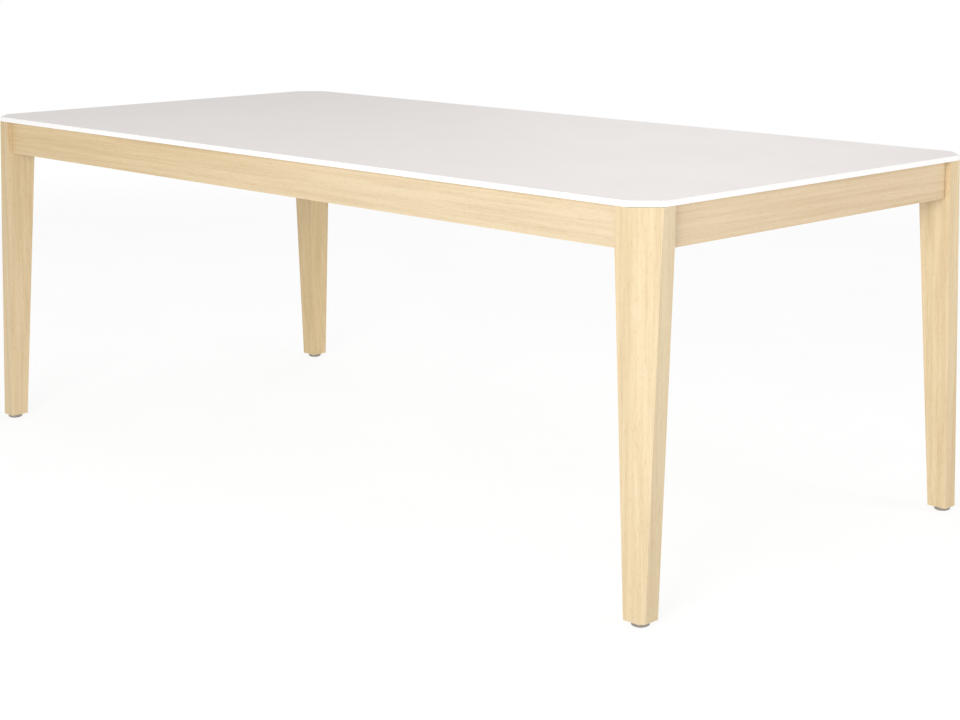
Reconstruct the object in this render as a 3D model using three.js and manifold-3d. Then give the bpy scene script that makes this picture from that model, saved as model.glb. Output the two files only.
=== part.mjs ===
// Rectangular table with a thin top, four aprons and four tapered legs on screw-in levelling glides.
// Millimetres. +X runs along the table, +Y across it, +Z up. The origin is on the floor under the centre.
import * as THREE from 'three';
import { mergeVertices } from 'three/addons/utils/BufferGeometryUtils.js';
import Module from 'manifold-3d';

const wasm = await Module();
wasm.setup();

// ---------------------------------------------------------------- driving dimensions

const LENGTH = 2060;
const WIDTH = 1000;
const HEIGHT = 740;
const CLEARANCE = 0.3; // left between any two faces that touch
const OVERRUN = 1; // how far a cutter runs past the face that it starts from

// How many sides stand for a circle.
const SIDES = { pilotHole: 8, bolt: 12, rod: 16, flange: 24, glide: 40 };

const TOP = {
  thickness: 10.8,
  overhang: 1.5, // past the legs' outer faces
  clip: 46, // how far each corner is cut back along both edges
  clipRadius: 20, // rounding at the two ends of a clipped corner
  ease: 1, // softened upper and lower edges
};

const LEG = {
  block: 72, // square section beside the aprons
  foot: 43, // square section at the foot
  footHeight: 9,
  facetTop: 42, // the outer corner's facet, measured along either face
  facetFoot: 8.5,
  braceChamfer: 14, // flat on the inner corner, facing the brace
};

const APRON = {
  depth: 75,
  thickness: 22,
  setback: 12.5, // from the legs' outer faces
  tenonLength: 15,
  tenonThickness: 10,
  tenonHeight: 52,
};

const RAIL = {
  spacing: 500,
  width: 60,
  depth: 28,
  tenonLength: 8,
  tenonWidth: 40,
  tenonHeight: 16,
};

const BRACE = {
  height: 60,
  thickness: 3,
  flange: 34,
  standoff: 9, // from the leg's inner corner to the plate, along the diagonal
};

const BOLT = {
  radius: 4,
  spacing: 36, // between the two bolts of a corner
  inLeg: 52,
  pastNut: 4,
  point: 1.5,
};

const NUT = {
  acrossFlats: 13,
  flangeRadius: 8.5,
  flangeThickness: 1.5,
  height: 8,
};

const CLIP = {
  width: 20,
  thickness: 2,
  tongue: 7, // the length held in the apron's slot
  slotDrop: 14, // from the underside of the top to the slot
  step: 8,
  rise: 4,
  reach: 34,
  longApronX: [-820, -250, 250, 820],
  shortApronY: [-240, 240],
};

// Holes for the wood screws, which aren't modelled.
const SCREW = {
  holeRadius: 2.3, // through clips, braces and rails
  pilotRadius: 1.6,
  topDepth: 8, // of the pilot holes in the top
  apronDepth: 14, // of the pilot holes in the aprons
  headRadius: 4.2, // of the countersinks under the rails
  headDepth: 2.4,
  clipReach: 23, // from an apron's face to the screw of a clip
  braceReach: 20, // from a brace's bend to the screws of its flange
  braceRise: 15, // above and below the middle of a brace
  railY: [-300, 0, 300],
};

const GLIDE = {
  baseRadius: 16.5,
  baseEdge: 2.4, // the rounded lower edge
  baseChamfer: 1, // along the upper edge
  padRadius: 14,
  padThickness: 2.5,
  padChamfer: 0.5,
  rimHeight: 0.8, // from the floor to the metal rim
  stemRadius: 4,
  stemSeat: 4, // height of the socket that the stem stands in
  stemTop: 54,
  stemChamfer: 1,
  boreSpare: 2, // left above the stem in the leg
  insertRadius: 6,
  insertLength: 20,
  insertFlangeRadius: 8.5,
  insertFlange: 1.2,
};

// Places that follow from the driving dimensions.
const UNDERSIDE = HEIGHT - TOP.thickness;
const FRAME_TOP = UNDERSIDE - CLEARANCE;
const APRON_BOTTOM = UNDERSIDE - APRON.depth;
const LEG_OUTER_X = LENGTH / 2 - TOP.overhang;
const LEG_OUTER_Y = WIDTH / 2 - TOP.overhang;
const LEG_INNER_X = LEG_OUTER_X - LEG.block;
const LEG_INNER_Y = LEG_OUTER_Y - LEG.block;
const APRON_OUTER_X = LEG_OUTER_X - APRON.setback;
const APRON_OUTER_Y = LEG_OUTER_Y - APRON.setback;
const APRON_INNER_X = APRON_OUTER_X - APRON.thickness;
const APRON_INNER_Y = APRON_OUTER_Y - APRON.thickness;
const JOINT_HEIGHT = (APRON_BOTTOM + UNDERSIDE) / 2;
const GLIDE_X = LEG_OUTER_X - LEG.foot / 2;
const GLIDE_Y = LEG_OUTER_Y - LEG.foot / 2;
const DIAGONAL = Math.SQRT2;

// ---------------------------------------------------------------- finishes

const finish = (color, roughness, metalness) => ({ color, roughness, metalness });
const FINISHES = {
  top: finish(0xf1eeeb, 0.45, 0),
  wood: finish(0xe6cfa6, 0.55, 0),
  rail: finish(0xdcc39a, 0.65, 0),
  zinc: finish(0xb9bcc0, 0.4, 0.9),
  glide: finish(0x9c9994, 0.3, 1),
  pad: finish(0x3b3a38, 0.8, 0),
};

// ---------------------------------------------------------------- shape helpers

// A closed geometry as a solid for joining and cutting.
function toSolid(geometry) {
  const bare = geometry.index ? geometry.toNonIndexed() : geometry.clone();
  bare.deleteAttribute('normal');
  bare.deleteAttribute('uv');
  const merged = mergeVertices(bare, 1e-3);
  const vertProperties = merged.attributes.position.array;
  const triVerts = new Uint32Array(merged.index.array);
  return new wasm.Manifold(new wasm.Mesh({ numProp: 3, vertProperties, triVerts }));
}

// A joined or cut solid as a flat-shaded geometry.
function toGeometry(solid) {
  const { vertProperties, triVerts } = solid.getMesh();
  const indexed = new THREE.BufferGeometry();
  indexed.setAttribute('position', new THREE.BufferAttribute(vertProperties, 3));
  indexed.setIndex(new THREE.BufferAttribute(triVerts, 1));
  const geometry = indexed.toNonIndexed();
  geometry.computeVertexNormals();
  return geometry;
}

const joined = (first, ...others) =>
  toGeometry(others.reduce((solid, other) => solid.add(toSolid(other)), toSolid(first)));

const cut = (body, ...cutters) =>
  toGeometry(cutters.reduce((solid, cutter) => solid.subtract(toSolid(cutter)), toSolid(body)));

// A box from its lowest and highest corners.
function block(low, high) {
  const size = high.map((value, axis) => value - low[axis]);
  const centre = high.map((value, axis) => (value + low[axis]) / 2);
  return new THREE.BoxGeometry(...size).translate(...centre);
}

// A round rod along Z, centred on x = y = 0. With a second radius it is a cone that ends at that one.
function rod(radius, zLow, zHigh, sides = SIDES.rod, highRadius = radius) {
  const shape = new THREE.CylinderGeometry(highRadius, radius, zHigh - zLow, sides);
  return shape.rotateX(Math.PI / 2).translate(0, 0, (zLow + zHigh) / 2);
}

// A body of revolution about Z from [radius, height] points, lowest first up the outside.
function turned(profile, sides) {
  const points = profile.map(([radius, height]) => new THREE.Vector2(radius, height));
  return new THREE.LatheGeometry(points, sides).rotateX(Math.PI / 2);
}

// A closed solid through convex outlines with equal numbers of corners, lowest level first,
// each running anticlockwise seen from above.
function loft(levels) {
  const corners = levels[0].outline.length;
  const index = [];
  for (let level = 0; level < levels.length - 1; level++) {
    for (let i = 0; i < corners; i++) {
      const here = level * corners + i;
      const next = level * corners + ((i + 1) % corners);
      index.push(here, next, next + corners, here, next + corners, here + corners);
    }
  }
  const last = (levels.length - 1) * corners;
  for (let i = 1; i < corners - 1; i++) {
    index.push(0, i + 1, i, last, last + i, last + i + 1);
  }
  const corner = (z) => ([x, y]) => [x, y, z];
  const positions = levels.flatMap(({ z, outline }) => outline.flatMap(corner(z)));
  const geometry = new THREE.BufferGeometry();
  geometry.setAttribute('position', new THREE.Float32BufferAttribute(positions, 3));
  geometry.setIndex(index);
  return geometry;
}

// The outline of a strip bent along a line of points, with its thickness on the right-hand side.
function bentStrip(line, thickness) {
  const points = line.map(([x, y]) => new THREE.Vector2(x, y));
  const rightOf = (from, to) => {
    const run = to.clone().sub(from).normalize();
    return new THREE.Vector2(run.y, -run.x);
  };
  const offset = points.map((point, i) => {
    const before = i > 0 ? rightOf(points[i - 1], point) : rightOf(point, points[1]);
    const after = i < points.length - 1 ? rightOf(point, points[i + 1]) : before;
    const mitre = before.clone().add(after).normalize();
    return point.clone().addScaledVector(mitre, thickness / mitre.dot(before));
  });
  return new THREE.Shape([...points, ...offset.reverse()]);
}

function extruded(shape, depth) {
  return new THREE.ExtrudeGeometry(shape, { depth, bevelEnabled: false });
}

// Turns a shape made along Z to run along a corner's diagonal, with z = 0 at the leg's inner corner.
function alongDiagonal(geometry, height) {
  geometry.rotateY(Math.PI / 2).rotateZ(Math.PI / 4);
  return geometry.translate(LEG_INNER_X, LEG_INNER_Y, height);
}

// ---------------------------------------------------------------- assembly

const table = new THREE.Group();

function addPiece(group, name, geometry, look) {
  const mesh = new THREE.Mesh(geometry, new THREE.MeshStandardMaterial(FINISHES[look]));
  mesh.name = name;
  group.add(mesh);
  return mesh;
}

// ---- top

const railPlaces = [-RAIL.spacing, 0, RAIL.spacing];
const clipScrewX = APRON_INNER_X - SCREW.clipReach;
const clipScrewY = APRON_INNER_Y - SCREW.clipReach;

// Where screws come up into the top, from the rails, the long aprons' clips and the short aprons' clips.
const topScrewPlaces = [
  ...railPlaces.flatMap((x) => SCREW.railY.map((y) => [x, y])),
  ...CLIP.longApronX.flatMap((x) => [
    [x, clipScrewY],
    [x, -clipScrewY],
  ]),
  ...CLIP.shortApronY.flatMap((y) => [
    [clipScrewX, y],
    [-clipScrewX, y],
  ]),
];

// A rectangle with clipped corners whose two ends are rounded. `inset` shrinks it on every side.
function topOutline(inset) {
  const x = LENGTH / 2 - inset;
  const y = WIDTH / 2 - inset;
  const clip = TOP.clip - inset * (2 - DIAGONAL);
  const radius = TOP.clipRadius - inset;
  const back = radius * Math.tan(Math.PI / 8); // from a corner to the start of its rounding
  const shape = new THREE.Shape();
  const arc = (centreX, centreY, from) =>
    shape.absarc(centreX, centreY, radius, from, from + Math.PI / 4, false);
  // Anticlockwise from the +X edge: each clipped corner is two rounded bends of 45 degrees.
  const bends = [
    [x - radius, y - clip - back],
    [x - clip - back, y - radius],
    [-x + clip + back, y - radius],
    [-x + radius, y - clip - back],
    [-x + radius, -y + clip + back],
    [-x + clip + back, -y + radius],
    [x - clip - back, -y + radius],
    [x - radius, -y + clip + back],
  ];
  bends.forEach(([centreX, centreY], i) => arc(centreX, centreY, (i * Math.PI) / 4));
  return shape;
}

function tableTop() {
  const geometry = new THREE.ExtrudeGeometry(topOutline(TOP.ease), {
    depth: TOP.thickness - 2 * TOP.ease,
    bevelThickness: TOP.ease,
    bevelSize: TOP.ease,
    bevelSegments: 3,
    curveSegments: 6,
  });
  const pilotHoles = topScrewPlaces.map(([x, y]) => {
    const hole = rod(SCREW.pilotRadius, UNDERSIDE - OVERRUN, UNDERSIDE + SCREW.topDepth, SIDES.pilotHole);
    return hole.translate(x, y, 0);
  });
  return cut(geometry.translate(0, 0, UNDERSIDE + TOP.ease), ...pilotHoles);
}

addPiece(table, 'table_top', tableTop(), 'top');

// ---- aprons and rails

// A board with a stub tenon at each end, lying along X, Y or both, centred on x = y = 0.
// `half` gives its half sizes between the shoulders, and `tenon` the half sizes through the tenons.
function tenonedBoard(half, tenon, zLow, zHigh, zMiddle) {
  const board = block([-half.x, -half.y, zLow], [half.x, half.y, zHigh]);
  const tongueLow = [-tenon.x, -tenon.y, zMiddle - tenon.z];
  const tongueHigh = [tenon.x, tenon.y, zMiddle + tenon.z];
  return joined(board, block(tongueLow, tongueHigh));
}

const clipSlotHigh = UNDERSIDE - CLIP.slotDrop + CLEARANCE;
const clipSlotLow = clipSlotHigh - CLIP.thickness - 2 * CLEARANCE;
const clipSlotHalf = CLIP.width / 2 + CLEARANCE;
const clipSlotDepth = CLIP.tongue + CLEARANCE;
const railMiddle = FRAME_TOP - RAIL.depth / 2;
const screwHeights = [JOINT_HEIGHT - SCREW.braceRise, JOINT_HEIGHT + SCREW.braceRise];

// The sum of x and y along the outer face of each brace, which fixes where its two bends are.
const braceSum = LEG_INNER_X + LEG_INNER_Y - BRACE.standoff * DIAGONAL;
const braceBendX = braceSum - APRON_INNER_Y + CLEARANCE;
const braceBendY = braceSum - APRON_INNER_X + CLEARANCE;

// Pilot holes for a brace's screws, two above each other near each end of an apron. The apron's inner
// face is at `face`, and it is bored along +Y.
function apronPilotHoles(screwPlace, face) {
  const places = [-screwPlace, screwPlace].flatMap((x) => screwHeights.map((z) => [x, z]));
  return places.map(([x, z]) => {
    const hole = rod(SCREW.pilotRadius, -OVERRUN, SCREW.apronDepth, SIDES.pilotHole);
    return hole.rotateX(-Math.PI / 2).translate(x, face, z);
  });
}

// The board's inner face looks along -Y, as on the back apron.
function longApron() {
  const middle = (APRON_OUTER_Y + APRON_INNER_Y) / 2;
  const face = -APRON.thickness / 2;
  const shoulder = LEG_INNER_X - CLEARANCE;
  const board = tenonedBoard(
    { x: shoulder, y: APRON.thickness / 2 },
    { x: shoulder + APRON.tenonLength, y: APRON.tenonThickness / 2, z: APRON.tenonHeight / 2 },
    APRON_BOTTOM,
    FRAME_TOP,
    JOINT_HEIGHT,
  );
  const slots = CLIP.longApronX.map((x) =>
    block(
      [x - clipSlotHalf, face - OVERRUN, clipSlotLow],
      [x + clipSlotHalf, face + clipSlotDepth, clipSlotHigh],
    ),
  );
  const mortiseHalf = RAIL.tenonWidth / 2 + CLEARANCE;
  const mortiseRise = RAIL.tenonHeight / 2 + CLEARANCE;
  const mortises = railPlaces.map((x) =>
    block(
      [x - mortiseHalf, face - OVERRUN, railMiddle - mortiseRise],
      [x + mortiseHalf, face + RAIL.tenonLength + CLEARANCE, railMiddle + mortiseRise],
    ),
  );
  const pilotHoles = apronPilotHoles(braceBendX - SCREW.braceReach, face);
  return cut(board, ...slots, ...mortises, ...pilotHoles).translate(0, middle, 0);
}

// The board's inner face looks along -X, as on the right-hand apron.
function shortApron() {
  const middle = (APRON_OUTER_X + APRON_INNER_X) / 2;
  const face = -APRON.thickness / 2;
  const shoulder = LEG_INNER_Y - CLEARANCE;
  const board = tenonedBoard(
    { x: APRON.thickness / 2, y: shoulder },
    { x: APRON.tenonThickness / 2, y: shoulder + APRON.tenonLength, z: APRON.tenonHeight / 2 },
    APRON_BOTTOM,
    FRAME_TOP,
    JOINT_HEIGHT,
  );
  const slots = CLIP.shortApronY.map((y) =>
    block(
      [face - OVERRUN, y - clipSlotHalf, clipSlotLow],
      [face + clipSlotDepth, y + clipSlotHalf, clipSlotHigh],
    ),
  );
  const pilotHoles = apronPilotHoles(braceBendY - SCREW.braceReach, face).map((hole) =>
    hole.rotateZ(-Math.PI / 2),
  );
  return cut(board, ...slots, ...pilotHoles).translate(middle, 0, 0);
}

const HALF_TURN = Math.PI;
addPiece(table, 'long_apron_back', longApron(), 'wood');
addPiece(table, 'long_apron_front', longApron(), 'wood').rotation.z = HALF_TURN;
addPiece(table, 'short_apron_right', shortApron(), 'wood');
addPiece(table, 'short_apron_left', shortApron(), 'wood').rotation.z = HALF_TURN;

function crossRail() {
  const shoulder = APRON_INNER_Y - CLEARANCE;
  const underside = FRAME_TOP - RAIL.depth;
  const board = tenonedBoard(
    { x: RAIL.width / 2, y: shoulder },
    { x: RAIL.tenonWidth / 2, y: shoulder + RAIL.tenonLength, z: RAIL.tenonHeight / 2 },
    underside,
    FRAME_TOP,
    railMiddle,
  );
  const headTop = underside + SCREW.headDepth;
  const holes = SCREW.railY.flatMap((y) =>
    [
      rod(SCREW.holeRadius, underside - OVERRUN, FRAME_TOP + OVERRUN, SIDES.bolt),
      rod(SCREW.headRadius, underside - OVERRUN, underside, SIDES.bolt),
      rod(SCREW.headRadius, underside, headTop, SIDES.bolt, SCREW.holeRadius),
    ].map((cutter) => cutter.translate(0, y, 0)),
  );
  return cut(board, ...holes);
}

['left', 'middle', 'right'].forEach((side, i) => {
  addPiece(table, `cross_rail_${side}`, crossRail(), 'rail').position.x = railPlaces[i];
});

// ---- top clips

// A Z-shaped strip: its tongue sits in an apron's slot and its flat end lies under the top.
// It reaches along +X from the apron's face at x = 0.
function topClip() {
  const tongueTop = UNDERSIDE - CLIP.slotDrop;
  const line = [
    [-CLIP.tongue, tongueTop],
    [CLIP.step, tongueTop],
    [CLIP.step + CLIP.rise, FRAME_TOP],
    [CLIP.reach, FRAME_TOP],
  ];
  const strip = extruded(bentStrip(line, CLIP.thickness), CLIP.width);
  strip.translate(0, 0, -CLIP.width / 2).rotateX(Math.PI / 2);
  const low = FRAME_TOP - CLIP.thickness - OVERRUN;
  const hole = rod(SCREW.holeRadius, low, FRAME_TOP + OVERRUN, SIDES.bolt);
  return cut(strip, hole.translate(SCREW.clipReach, 0, 0));
}

function addClip(name, x, y, heading) {
  const clip = addPiece(table, name, topClip(), 'zinc');
  clip.position.set(x, y, 0);
  clip.rotation.z = heading;
}

CLIP.longApronX.forEach((x, i) => {
  addClip(`top_clip_back_${i + 1}`, x, APRON_INNER_Y, -Math.PI / 2);
  addClip(`top_clip_front_${i + 1}`, x, -APRON_INNER_Y, Math.PI / 2);
});
CLIP.shortApronY.forEach((y, i) => {
  addClip(`top_clip_right_${i + 1}`, APRON_INNER_X, y, HALF_TURN);
  addClip(`top_clip_left_${i + 1}`, -APRON_INNER_X, y, 0);
});

// ---- the pieces of one corner, made for the corner at +X and +Y

const boltHeights = [JOINT_HEIGHT - BOLT.spacing / 2, JOINT_HEIGHT + BOLT.spacing / 2];
const plateOuter = -BRACE.standoff;
const plateInner = plateOuter - BRACE.thickness;
const nutFace = plateInner - CLEARANCE;
const boltHole = BOLT.radius + CLEARANCE;

function legOutline(width, facet) {
  return [
    [LEG_OUTER_X - width, LEG_OUTER_Y - width],
    [LEG_OUTER_X, LEG_OUTER_Y - width],
    [LEG_OUTER_X, LEG_OUTER_Y - facet],
    [LEG_OUTER_X - facet, LEG_OUTER_Y],
    [LEG_OUTER_X - width, LEG_OUTER_Y],
  ];
}

function leg() {
  const facetAt = (z) => {
    const share = (z - LEG.footHeight) / (UNDERSIDE - LEG.footHeight);
    return LEG.facetFoot + share * (LEG.facetTop - LEG.facetFoot);
  };
  const level = (z, width) => ({ z, outline: legOutline(width, facetAt(z)) });
  const body = loft([
    level(LEG.footHeight, LEG.foot),
    level(APRON_BOTTOM, LEG.block),
    level(FRAME_TOP, LEG.block),
  ]);

  // The flat for the brace, cut across the inner corner beside the aprons.
  const flatDepth = LEG.braceChamfer / DIAGONAL;
  const flatHalf = 2 * LEG.braceChamfer;
  const flatHeight = APRON.depth / 2 + OVERRUN;
  const flat = alongDiagonal(
    block([-flatHeight, -flatHalf, -flatDepth], [flatHeight, flatHalf, flatDepth]),
    JOINT_HEIGHT + OVERRUN,
  );

  // Mortises for the stub tenons of the two aprons.
  const depth = APRON.tenonLength;
  const halfThickness = APRON.tenonThickness / 2 + CLEARANCE;
  const halfHeight = APRON.tenonHeight / 2 + CLEARANCE;
  const longMiddle = (APRON_OUTER_Y + APRON_INNER_Y) / 2;
  const shortMiddle = (APRON_OUTER_X + APRON_INNER_X) / 2;
  const longMortise = block(
    [LEG_INNER_X - OVERRUN, longMiddle - halfThickness, JOINT_HEIGHT - halfHeight],
    [LEG_INNER_X + depth, longMiddle + halfThickness, JOINT_HEIGHT + halfHeight],
  );
  const shortMortise = block(
    [shortMiddle - halfThickness, LEG_INNER_Y - OVERRUN, JOINT_HEIGHT - halfHeight],
    [shortMiddle + halfThickness, LEG_INNER_Y + depth, JOINT_HEIGHT + halfHeight],
  );

  const boltHoles = boltHeights.map((z) =>
    alongDiagonal(rod(boltHole, 0, BOLT.inLeg + CLEARANCE), z),
  );

  // The bore for the insert, its flange's recess and the stem's run above it.
  const start = LEG.footHeight - OVERRUN;
  const insertTop = LEG.footHeight + GLIDE.insertLength + CLEARANCE;
  const flangeTop = LEG.footHeight + GLIDE.insertFlange + CLEARANCE;
  const bore = [
    rod(GLIDE.insertFlangeRadius + CLEARANCE, start, flangeTop),
    rod(GLIDE.insertRadius + CLEARANCE, start, insertTop),
    rod(GLIDE.stemRadius + 2 * CLEARANCE, start, GLIDE.stemTop + GLIDE.boreSpare),
  ].map((drill) => drill.translate(GLIDE_X, GLIDE_Y, 0));

  return cut(body, flat, longMortise, shortMortise, ...boltHoles, ...bore);
}

// A bent steel plate across the corner, with a flange along each apron's inner face.
function cornerBrace() {
  const faceX = APRON_INNER_X - CLEARANCE;
  const faceY = APRON_INNER_Y - CLEARANCE;
  const line = [
    [braceBendX - BRACE.flange, faceY],
    [braceBendX, faceY],
    [faceX, braceBendY],
    [faceX, braceBendY - BRACE.flange],
  ];
  const plate = extruded(bentStrip(line, BRACE.thickness), BRACE.height);
  plate.translate(0, 0, JOINT_HEIGHT - BRACE.height / 2);
  const boltHoles = boltHeights.map((z) =>
    alongDiagonal(rod(boltHole, plateInner - OVERRUN, plateOuter + OVERRUN), z),
  );
  const reach = BRACE.thickness + OVERRUN;
  const screwHoles = screwHeights.flatMap((z) => {
    const towardsY = rod(SCREW.holeRadius, -reach, OVERRUN, SIDES.bolt).rotateX(-Math.PI / 2);
    const towardsX = rod(SCREW.holeRadius, -reach, OVERRUN, SIDES.bolt).rotateY(Math.PI / 2);
    return [
      towardsY.translate(braceBendX - SCREW.braceReach, faceY, z),
      towardsX.translate(faceX, braceBendY - SCREW.braceReach, z),
    ];
  });
  return cut(plate, ...boltHoles, ...screwHoles);
}

function hangerBolt(z) {
  const start = nutFace - NUT.height - BOLT.pastNut;
  const profile = [
    [0, start],
    [BOLT.radius - BOLT.point / 2, start],
    [BOLT.radius, start + BOLT.point / 2],
    [BOLT.radius, BOLT.inLeg - BOLT.point],
    [BOLT.radius - BOLT.point, BOLT.inLeg],
    [0, BOLT.inLeg],
  ];
  return alongDiagonal(turned(profile, SIDES.bolt), z);
}

function flangeNut(z) {
  const circumradius = NUT.acrossFlats / 2 / Math.cos(Math.PI / 6);
  const far = nutFace - NUT.height;
  const hexagon = rod(circumradius, far, nutFace, 6);
  const flange = rod(NUT.flangeRadius, nutFace - NUT.flangeThickness, nutFace, SIDES.flange);
  const bore = rod(boltHole, far - OVERRUN, nutFace + OVERRUN, SIDES.bolt);
  return alongDiagonal(cut(joined(hexagon, flange), bore), z);
}

const onGlideAxis = (geometry) => geometry.translate(GLIDE_X, GLIDE_Y, 0);

function threadedInsert() {
  const inner = GLIDE.stemRadius + CLEARANCE;
  const bottom = LEG.footHeight;
  const top = bottom + GLIDE.insertLength;
  const profile = [
    [inner, bottom],
    [GLIDE.insertFlangeRadius, bottom],
    [GLIDE.insertFlangeRadius, bottom + GLIDE.insertFlange],
    [GLIDE.insertRadius, bottom + GLIDE.insertFlange],
    [GLIDE.insertRadius, top],
    [inner, top],
    [inner, bottom],
  ];
  return onGlideAxis(turned(profile, SIDES.rod));
}

function glideStem() {
  const start = GLIDE.stemSeat + CLEARANCE;
  const profile = [
    [0, start],
    [GLIDE.stemRadius, start],
    [GLIDE.stemRadius, GLIDE.stemTop - GLIDE.stemChamfer],
    [GLIDE.stemRadius - GLIDE.stemChamfer, GLIDE.stemTop],
    [0, GLIDE.stemTop],
  ];
  return onGlideAxis(turned(profile, SIDES.rod));
}

// A metal cup with a socket for the stem above and a recess for the pad below.
function glideBase() {
  const top = LEG.footHeight - CLEARANCE;
  const recess = GLIDE.padThickness + CLEARANCE;
  const inside = GLIDE.padRadius + CLEARANCE;
  const edgeX = GLIDE.baseRadius - GLIDE.baseEdge;
  const edgeZ = GLIDE.rimHeight + GLIDE.baseEdge;
  const edgeSteps = 3;
  const lowerEdge = Array.from({ length: edgeSteps + 1 }, (_, i) => {
    const turn = ((Math.PI / 2) * i) / edgeSteps;
    return [
      Math.max(edgeX + GLIDE.baseEdge * Math.sin(turn), inside + CLEARANCE),
      edgeZ - GLIDE.baseEdge * Math.cos(turn),
    ];
  });
  const socket = GLIDE.stemRadius + CLEARANCE;
  const profile = [
    [0, recess],
    [inside, recess],
    [inside, GLIDE.rimHeight],
    ...lowerEdge,
    [GLIDE.baseRadius, top - GLIDE.baseChamfer],
    [GLIDE.baseRadius - GLIDE.baseChamfer, top],
    [socket, top],
    [socket, GLIDE.stemSeat],
    [0, GLIDE.stemSeat],
  ];
  return onGlideAxis(turned(profile, SIDES.glide));
}

function glidePad() {
  const profile = [
    [0, 0],
    [GLIDE.padRadius - GLIDE.padChamfer, 0],
    [GLIDE.padRadius, GLIDE.padChamfer],
    [GLIDE.padRadius, GLIDE.padThickness],
    [0, GLIDE.padThickness],
  ];
  return onGlideAxis(turned(profile, SIDES.flange));
}

function addCorner(corner, sideX, sideY) {
  const group = new THREE.Group();
  group.scale.set(sideX, sideY, 1);
  table.add(group);
  addPiece(group, `leg_${corner}`, leg(), 'wood');
  addPiece(group, `corner_brace_${corner}`, cornerBrace(), 'zinc');
  boltHeights.forEach((z, i) => {
    const row = ['lower', 'upper'][i];
    addPiece(group, `hanger_bolt_${corner}_${row}`, hangerBolt(z), 'zinc');
    addPiece(group, `flange_nut_${corner}_${row}`, flangeNut(z), 'zinc');
  });
  addPiece(group, `threaded_insert_${corner}`, threadedInsert(), 'zinc');
  addPiece(group, `glide_stem_${corner}`, glideStem(), 'zinc');
  addPiece(group, `glide_base_${corner}`, glideBase(), 'glide');
  addPiece(group, `glide_pad_${corner}`, glidePad(), 'pad');
}

addCorner('front_left', -1, -1);
addCorner('front_right', 1, -1);
addCorner('back_left', -1, 1);
addCorner('back_right', 1, 1);

export default table;
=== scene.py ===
"""Looks for a rectangular table: a thin white top, pale wooden aprons and legs, levelling glides.

Everything is in metres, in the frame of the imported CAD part: the table runs along X, its front is at -Y
and z = 0 is the floor.
"""
import math
import random

import bmesh
import bpy
from mathutils import Matrix, Vector


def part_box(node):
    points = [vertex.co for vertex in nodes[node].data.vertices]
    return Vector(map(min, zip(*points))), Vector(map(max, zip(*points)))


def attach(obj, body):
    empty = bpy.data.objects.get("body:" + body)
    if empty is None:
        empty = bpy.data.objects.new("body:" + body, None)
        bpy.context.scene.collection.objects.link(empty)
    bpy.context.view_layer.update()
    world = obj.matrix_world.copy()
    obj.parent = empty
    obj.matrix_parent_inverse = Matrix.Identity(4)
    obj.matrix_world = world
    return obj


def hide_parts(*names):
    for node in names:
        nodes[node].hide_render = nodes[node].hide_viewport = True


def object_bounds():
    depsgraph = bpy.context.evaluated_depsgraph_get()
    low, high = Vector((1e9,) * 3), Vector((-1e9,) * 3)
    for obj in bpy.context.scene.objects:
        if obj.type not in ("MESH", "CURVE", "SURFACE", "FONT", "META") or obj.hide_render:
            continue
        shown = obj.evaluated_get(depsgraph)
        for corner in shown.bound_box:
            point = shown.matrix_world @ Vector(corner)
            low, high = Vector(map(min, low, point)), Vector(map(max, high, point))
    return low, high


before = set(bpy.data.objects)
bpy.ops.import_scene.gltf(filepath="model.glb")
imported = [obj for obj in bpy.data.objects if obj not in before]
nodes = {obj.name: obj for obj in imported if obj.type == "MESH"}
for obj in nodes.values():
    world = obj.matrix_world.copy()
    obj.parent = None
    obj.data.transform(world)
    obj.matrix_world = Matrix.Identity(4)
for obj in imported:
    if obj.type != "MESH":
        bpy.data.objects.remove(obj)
cad_low, cad_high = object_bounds()

MM = 0.001
FIXED_BODY = "table_frame"
CORNERS = {  # each corner's side along X and along Y
    "front_left": (-1, -1),
    "front_right": (1, -1),
    "back_left": (-1, 1),
    "back_right": (1, 1),
}
TOP_CLIPS = sorted(name for name in nodes if name.startswith("top_clip_"))
CROSS_RAILS = [f"cross_rail_{side}" for side in ("left", "middle", "right")]
UP = Vector((0, 0, 1))
DOWN = -UP

# ---------------------------------------------------------------- camera, light and floor

CAMERA_PLACE = (3.0946, -2.9324, 1.2029)
CAMERA_AZIMUTH = 45.303
CAMERA_ELEVATION = 9.354
CAMERA_LENS_MM = 73.01
CAMERA_SHIFT_Y = -0.125
SENSOR_WIDTH_MM = 36.0

# Round soft boxes: place, diameter and power in watts. All of them face the middle of the table.
SOFT_BOXES = {
    "front_box": ((3.4, -5.2, 1.7), 3.2, 155.0),
    "near_box": ((1.8, -3.4, 1.5), 1.6, 46.0),
    "side_box": ((3.9, 1.5, 1.3), 1.6, 34.0),
    "top_box": ((0.0, 0.0, 3.6), 2.6, 18.0),
    "back_box": ((-3.5, 5.5, 2.4), 3.0, 55.0),
    "left_box": ((-6.0, -1.5, 2.0), 3.0, 12.0),
}
SKY_STRENGTH = 0.5

FLOOR_RADIUS = 80.0
FLOOR_SIDES = 128
FLOOR_PAPER = (0.175, 0.185)  # the range of its grey
FLOOR_GLOW = 0.84  # a floor that is lit from below, as a light table is, keeps shadows faint
FLOOR_FADE = (2.6, 7.0)  # from here to here the floor turns into the white background


def back_vector(azimuth, elevation):
    """The direction from the object to a camera at these angles, in degrees."""
    turn = math.radians(azimuth)
    rise = math.radians(elevation)
    return Vector((math.sin(turn) * math.cos(rise), -math.cos(turn) * math.cos(rise), math.sin(rise)))


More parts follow.
